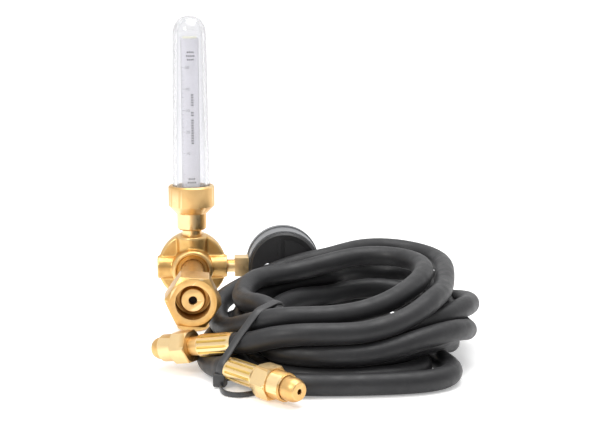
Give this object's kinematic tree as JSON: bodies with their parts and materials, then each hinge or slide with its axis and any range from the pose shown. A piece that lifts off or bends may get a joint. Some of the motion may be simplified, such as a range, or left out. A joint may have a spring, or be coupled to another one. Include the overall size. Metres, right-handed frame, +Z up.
{
  "type": "gas flowmeter regulator with hose",
  "caption": "Brass shielding-gas regulator with a clear flow tube, small pressure gauge and tied coil of black rubber hose with brass fittings.",
  "frame": {"origin": "centre of the outlet's mouth, where the body stands on the surface", "axes": "+Z up the flow tube, -Y out of the cylinder inlet, +X towards the pressure gauge"},
  "size_m": [0.2026, 0.2285, 0.201],
  "materials": {
    "cast_brass": "satin cast and machined brass",
    "bright_brass": "turned brass",
    "sintered_bronze": "sintered bronze",
    "bright_steel": "bright plated steel",
    "spring_steel": "spring wire",
    "gauge_case_steel": "satin nickel-plated steel",
    "gauge_back_plastic": "black moulded",
    "knob_plastic": "black moulded",
    "diaphragm_rubber": "fabric-reinforced rubber",
    "seal_rubber": "O-ring rubber",
    "hose_rubber": "smooth black rubber",
    "tie_nylon": "black nylon",
    "clear_cover": "clear polycarbonate",
    "scale_tube": "clear acrylic with a white scale",
    "float_black": "black ball",
    "stop_plastic": "ivory plastic",
    "dial_white": "printed dial",
    "pointer_black": "black enamel",
    "lens_clear": "clear lens"
  },
  "bodies": {
    "regulator": {"body": "cast_brass", "side_plug": "cast_brass", "inlet_stem": "bright_brass", "inlet_filter": "sintered_bronze", "valve_nozzle": "bright_brass", "poppet_spring": "spring_steel", "diaphragm": "diaphragm_rubber", "diaphragm_plate": "bright_steel", "range_spring": "spring_steel", "bonnet": "cast_brass", "tube_base": "bright_brass", "tube_cover": "clear_cover", "cover_seal": "seal_rubber", "scale_tube": "scale_tube", "tube_seal": "seal_rubber", "float_stop": "stop_plastic", "gauge_socket": "cast_brass", "gauge_case": "gauge_case_steel", "gauge_back": "gauge_back_plastic", "gauge_screw": "bright_steel", "gauge_bourdon_tube": "bright_brass", "gauge_movement": "bright_brass", "gauge_dial": "dial_white", "gauge_lens": "lens_clear", "gauge_bezel": "gauge_case_steel", "hose_coil": "hose_rubber", "hose_lead_a": "hose_rubber", "hose_lead_b": "hose_rubber", "hose_tail_a": "hose_rubber", "hose_tail_b": "hose_rubber", "ferrule_a": "bright_brass", "ferrule_b": "bright_brass", "hose_nipple_a": "bright_brass", "hose_nipple_b": "bright_brass", "cable_tie": "tie_nylon"},
    "inlet_nut": {"inlet_nut": "cast_brass"},
    "poppet": {"valve_poppet": "bright_steel"},
    "button": {"spring_button": "bright_steel"},
    "knob": {"adjusting_screw": "bright_steel", "knob": "knob_plastic", "knob_cap": "bright_steel"},
    "float": {"float_ball": "float_black"},
    "sector": {"gauge_sector": "bright_brass"},
    "pointer": {"gauge_pointer": "pointer_black"},
    "hose_nut_a": {"hose_nut_a": "cast_brass"},
    "hose_nut_b": {"hose_nut_b": "cast_brass"}
  },
  "joints": [
    {"name": "inlet_nut_turn", "type": "hinge", "parent": "regulator", "child": "inlet_nut", "pos_m": [0, -0.091, 0.041], "axis": [0, 1, 0], "continuous": true},
    {"name": "button_slide", "type": "slide", "parent": "regulator", "child": "button", "axis": [0, -1, 0], "range_m": [0, 0.004], "deforming": ["range_spring"]},
    {"name": "knob_turn", "type": "hinge", "parent": "button", "child": "knob", "pos_m": [0, 0.04, 0.041], "axis": [0, -1, 0], "range_deg": [0, 1153]},
    {"name": "poppet_slide", "type": "slide", "parent": "regulator", "child": "poppet", "axis": [0, -1, 0], "range_m": [0, 0.0006], "stiffness_N_per_m": 400, "deforming": ["poppet_spring"]},
    {"name": "float_slide", "type": "slide", "parent": "regulator", "child": "float", "axis": [0, 0, 1], "range_m": [0, 0.084]},
    {"name": "sector_turn", "type": "hinge", "parent": "regulator", "child": "sector", "pos_m": [0.059, 0.004, 0.027], "axis": [0, 1, 0], "range_deg": [0, 45], "stiffness_Nm_per_rad": 0.01},
    {"name": "pointer_turn", "type": "hinge", "parent": "regulator", "child": "pointer", "pos_m": [0.059, 0.006, 0.041], "axis": [0, 1, 0], "range_deg": [-270.5, 0.5]},
    {"name": "hose_nut_a_turn", "type": "hinge", "parent": "regulator", "child": "hose_nut_a", "pos_m": [-0.00444, -0.10128, 0.01542], "axis": [-0.8041, 0.563, -0.1908], "continuous": true},
    {"name": "hose_nut_b_turn", "type": "hinge", "parent": "regulator", "child": "hose_nut_b", "pos_m": [0.04002, -0.15588, 0.01005], "axis": [0.6292, -0.777, -0.0175], "continuous": true}
  ],
  "couplings": [
    {"joint": "knob_turn", "follows": "button_slide", "rad_per_m": 5026.5},
    {"joint": "pointer_turn", "follows": "sector_turn", "ratio": -6}
  ]
}
